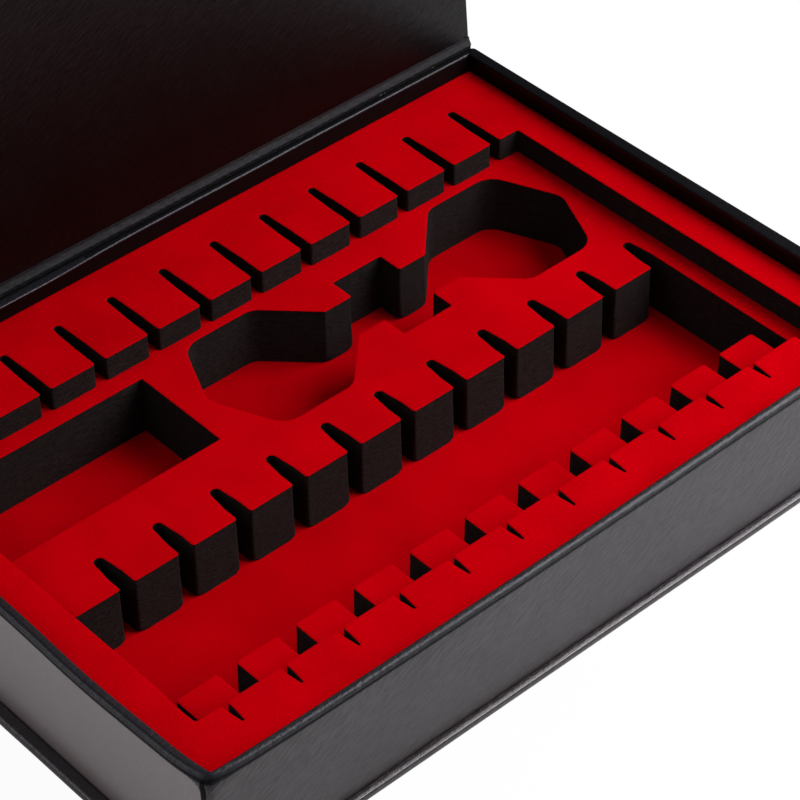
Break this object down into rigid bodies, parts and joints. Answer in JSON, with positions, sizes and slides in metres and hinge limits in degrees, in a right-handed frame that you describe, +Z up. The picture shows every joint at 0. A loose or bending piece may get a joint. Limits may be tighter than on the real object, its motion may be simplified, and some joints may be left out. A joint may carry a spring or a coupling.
{
  "type": "dart case",
  "caption": "Rigid book-style case with a hinged magnetic lid and layered cut foam that holds darts, flights and spare parts.",
  "frame": {"origin": "centre of the case's underside, on the surface that it stands on", "axes": "+X along the long side to the right, +Y to the hinge at the back, +Z up; the lid stands open at rest"},
  "size_m": [0.2756, 0.2149, 0.2411],
  "materials": {
    "greyboard": "matte",
    "leatherette": "satin",
    "lining": "satin",
    "backing": "matte",
    "foam": "matte",
    "flock": "matte",
    "magnet": "satin"
  },
  "bodies": {
    "case": {"base_board": "greyboard", "cover_base_panel": "leatherette", "spine_board": "greyboard", "cover_spine_panel": "leatherette", "cover_hinge_panel": "leatherette", "hinge_lining": "lining", "tray_bottom_board": "greyboard", "tray_front_board": "greyboard", "tray_back_board": "greyboard", "tray_left_board": "greyboard", "tray_right_board": "greyboard", "tray_magnets": "magnet", "tray_wrap": "leatherette", "floor_backing": "backing", "floor_flock": "flock", "middle_foam": "foam", "middle_flock": "flock", "top_foam": "foam", "top_flock": "flock"},
    "lid": {"lid_board": "greyboard", "lid_magnets": "magnet", "cover_lid_panel": "leatherette", "lid_liner": "lining"}
  },
  "joints": [
    {"name": "lid_hinge", "type": "hinge", "parent": "case", "child": "lid", "pos_m": [0, 0.0986, 0.0446], "axis": [-1, 0, 0], "range_deg": [-94.9, 97], "deforming": ["cover_hinge_panel", "hinge_lining"]}
  ]
}
